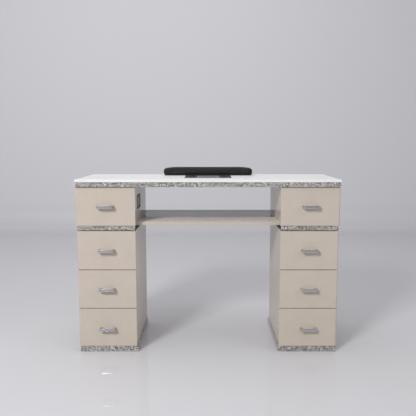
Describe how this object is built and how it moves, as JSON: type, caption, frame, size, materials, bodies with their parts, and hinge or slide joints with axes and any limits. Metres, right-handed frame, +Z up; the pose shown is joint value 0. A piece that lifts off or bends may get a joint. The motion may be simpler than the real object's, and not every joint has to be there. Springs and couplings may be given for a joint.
{
  "type": "manicure table",
  "caption": "Manicure table with a stone top, drawer pedestals, a tie shelf, a dust vent with a fan, and a padded armrest.",
  "frame": {"origin": "on the floor, at the centre of the object's overall box", "axes": "+X to the right seen from the drawer side, +Y to the rear, where the armrest is, +Z up"},
  "size_m": [1.2, 0.468, 0.841],
  "materials": {
    "white_stone": "polished",
    "granite_laminate": "polished, speckled grey, white and black",
    "beige_gloss_laminate": "high-gloss beige laminate on board",
    "black_edge_strip": "matt black",
    "drawer_board": "light melamine",
    "satin_metal": "satin",
    "zinc_steel": "zinc plated",
    "smoked_acrylic": "smoked, clear",
    "white_plastic": "moulded",
    "grey_plastic": "moulded",
    "black_plastic": "moulded",
    "brushed_grille": "brushed",
    "black_metal": "satin black",
    "filter_foam": "open-cell foam",
    "black_leatherette": "soft, fine grain"
  },
  "bodies": {
    "table": {"armrest_base": "black_plastic", "armrest_pad": "black_leatherette", "cord_gland": "black_plastic", "fan_housing": "black_plastic", "lower_case_left": "beige_gloss_laminate", "lower_case_right": "beige_gloss_laminate", "mid_boards": "granite_laminate", "outlet_plate": "grey_plastic", "outlet_sockets": "white_plastic", "plinths": "granite_laminate", "runner_channels": "zinc_steel", "shadow_strips": "black_edge_strip", "shelf": "beige_gloss_laminate", "shelf_screws": "zinc_steel", "stone_top": "white_stone", "stop_panel": "smoked_acrylic", "supply_lead": "black_plastic", "top_board": "granite_laminate", "top_brackets": "zinc_steel", "upper_case_left": "beige_gloss_laminate", "upper_case_right": "beige_gloss_laminate", "upper_inner_side_left": "beige_gloss_laminate", "upper_inner_side_right": "beige_gloss_laminate", "vent_filter": "filter_foam", "vent_side_plates": "black_metal", "vent_tray": "black_metal"},
    "drawer_left_1": {"drawer_front_left_1": "beige_gloss_laminate", "drawer_box_left_1": "drawer_board", "drawer_pull_left_1": "satin_metal", "runner_tongues_left_1": "zinc_steel"},
    "drawer_left_2": {"drawer_front_left_2": "beige_gloss_laminate", "drawer_box_left_2": "drawer_board", "drawer_pull_left_2": "satin_metal", "runner_tongues_left_2": "zinc_steel"},
    "drawer_left_3": {"drawer_front_left_3": "beige_gloss_laminate", "drawer_box_left_3": "drawer_board", "drawer_pull_left_3": "satin_metal", "runner_tongues_left_3": "zinc_steel"},
    "drawer_left_4": {"drawer_front_left_4": "beige_gloss_laminate", "drawer_box_left_4": "drawer_board", "drawer_pull_left_4": "satin_metal", "runner_tongues_left_4": "zinc_steel"},
    "drawer_right_1": {"drawer_front_right_1": "beige_gloss_laminate", "drawer_box_right_1": "drawer_board", "drawer_pull_right_1": "satin_metal", "runner_tongues_right_1": "zinc_steel"},
    "drawer_right_2": {"drawer_front_right_2": "beige_gloss_laminate", "drawer_box_right_2": "drawer_board", "drawer_pull_right_2": "satin_metal", "runner_tongues_right_2": "zinc_steel"},
    "drawer_right_3": {"drawer_front_right_3": "beige_gloss_laminate", "drawer_box_right_3": "drawer_board", "drawer_pull_right_3": "satin_metal", "runner_tongues_right_3": "zinc_steel"},
    "drawer_right_4": {"drawer_front_right_4": "beige_gloss_laminate", "drawer_box_right_4": "drawer_board", "drawer_pull_right_4": "satin_metal", "runner_tongues_right_4": "zinc_steel"},
    "fan_rotor": {"fan_rotor": "black_plastic"},
    "vent_grille": {"vent_grille": "brushed_grille"}
  },
  "joints": [
    {"name": "drawer_left_1_slide", "type": "slide", "parent": "table", "child": "drawer_left_1", "axis": [0, -1, 0], "range_m": [0, 0.26]},
    {"name": "drawer_left_2_slide", "type": "slide", "parent": "table", "child": "drawer_left_2", "axis": [0, -1, 0], "range_m": [0, 0.26]},
    {"name": "drawer_left_3_slide", "type": "slide", "parent": "table", "child": "drawer_left_3", "axis": [0, -1, 0], "range_m": [0, 0.26]},
    {"name": "drawer_left_4_slide", "type": "slide", "parent": "table", "child": "drawer_left_4", "axis": [0, -1, 0], "range_m": [0, 0.26]},
    {"name": "drawer_right_1_slide", "type": "slide", "parent": "table", "child": "drawer_right_1", "axis": [0, -1, 0], "range_m": [0, 0.26]},
    {"name": "drawer_right_2_slide", "type": "slide", "parent": "table", "child": "drawer_right_2", "axis": [0, -1, 0], "range_m": [0, 0.26]},
    {"name": "drawer_right_3_slide", "type": "slide", "parent": "table", "child": "drawer_right_3", "axis": [0, -1, 0], "range_m": [0, 0.26]},
    {"name": "drawer_right_4_slide", "type": "slide", "parent": "table", "child": "drawer_right_4", "axis": [0, -1, 0], "range_m": [0, 0.26]},
    {"name": "fan_spin", "type": "hinge", "parent": "table", "child": "fan_rotor", "pos_m": [0, 0.0065, 0.7695], "axis": [0, 0, 1], "continuous": true},
    {"name": "vent_grille_lift", "type": "slide", "parent": "table", "child": "vent_grille", "axis": [0, 0, 1], "range_m": [0, 0.05]}
  ]
}
